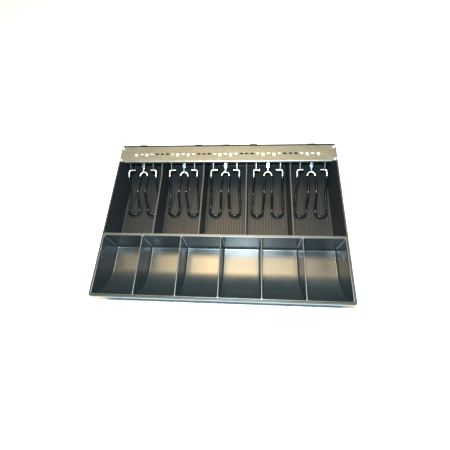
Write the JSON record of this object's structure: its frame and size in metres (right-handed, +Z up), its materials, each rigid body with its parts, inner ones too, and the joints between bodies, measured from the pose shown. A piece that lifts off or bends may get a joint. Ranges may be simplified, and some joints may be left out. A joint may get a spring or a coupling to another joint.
{
  "type": "cash drawer till",
  "caption": "Black plastic cash drawer till with scooped coin cups, ribbed note bays and sprung wire note clips hung from a slotted steel rail",
  "frame": {"origin": "centre of the flat base, on the surface the till stands on", "axes": "+X to the right across the note bays, +Y from the coin cups to the rail at the rear, +Z up"},
  "size_m": [0.4, 0.286, 0.0611],
  "materials": {
    "abs": "moulded black ABS, glossy with a fine moulded grain",
    "galvanised": "satin galvanised sheet, slightly warm",
    "zinc": "bright zinc plating",
    "spring": "polished spring steel strip",
    "vinyl": "black vinyl dip over zinc-plated wire; the pins, the bends and the middle arch are bare"
  },
  "bodies": {
    "till": {"till_tray": "abs", "clip_rail": "galvanised", "rail_screw_1": "zinc", "rail_screw_2": "zinc", "rail_screw_3": "zinc", "rail_screw_4": "zinc", "hinge_bracket_1": "zinc", "leaf_spring_1": "spring", "spring_rivet_1": "zinc", "hinge_bracket_2": "zinc", "leaf_spring_2": "spring", "spring_rivet_2": "zinc", "hinge_bracket_3": "zinc", "leaf_spring_3": "spring", "spring_rivet_3": "zinc", "hinge_bracket_4": "zinc", "leaf_spring_4": "spring", "spring_rivet_4": "zinc", "hinge_bracket_5": "zinc", "leaf_spring_5": "spring", "spring_rivet_5": "zinc"},
    "coins": {"coin_tray": "abs"},
    "clip_1": {"bill_clip_1": "vinyl"},
    "clip_2": {"bill_clip_2": "vinyl"},
    "clip_3": {"bill_clip_3": "vinyl"},
    "clip_4": {"bill_clip_4": "vinyl"},
    "clip_5": {"bill_clip_5": "vinyl"}
  },
  "joints": [
    {"name": "coin_tray_lift", "type": "slide", "parent": "till", "child": "coins", "axis": [0, 0, 1], "range_m": [0, 0.08]},
    {"name": "clip_hinge_1", "type": "hinge", "parent": "till", "child": "clip_1", "pos_m": [-0.1574, 0.0968, 0.042], "axis": [-1, 0, 0], "range_deg": [0, 115], "stiffness_Nm_per_rad": 0.05, "springref_deg": -45.84},
    {"name": "clip_hinge_2", "type": "hinge", "parent": "till", "child": "clip_2", "pos_m": [-0.0787, 0.0968, 0.042], "axis": [-1, 0, 0], "range_deg": [0, 115], "stiffness_Nm_per_rad": 0.05, "springref_deg": -45.84},
    {"name": "clip_hinge_3", "type": "hinge", "parent": "till", "child": "clip_3", "pos_m": [0, 0.0968, 0.042], "axis": [-1, 0, 0], "range_deg": [0, 115], "stiffness_Nm_per_rad": 0.05, "springref_deg": -45.84},
    {"name": "clip_hinge_4", "type": "hinge", "parent": "till", "child": "clip_4", "pos_m": [0.0787, 0.0968, 0.042], "axis": [-1, 0, 0], "range_deg": [0, 115], "stiffness_Nm_per_rad": 0.05, "springref_deg": -45.84},
    {"name": "clip_hinge_5", "type": "hinge", "parent": "till", "child": "clip_5", "pos_m": [0.1574, 0.0968, 0.042], "axis": [-1, 0, 0], "range_deg": [0, 115], "stiffness_Nm_per_rad": 0.05, "springref_deg": -45.84}
  ]
}
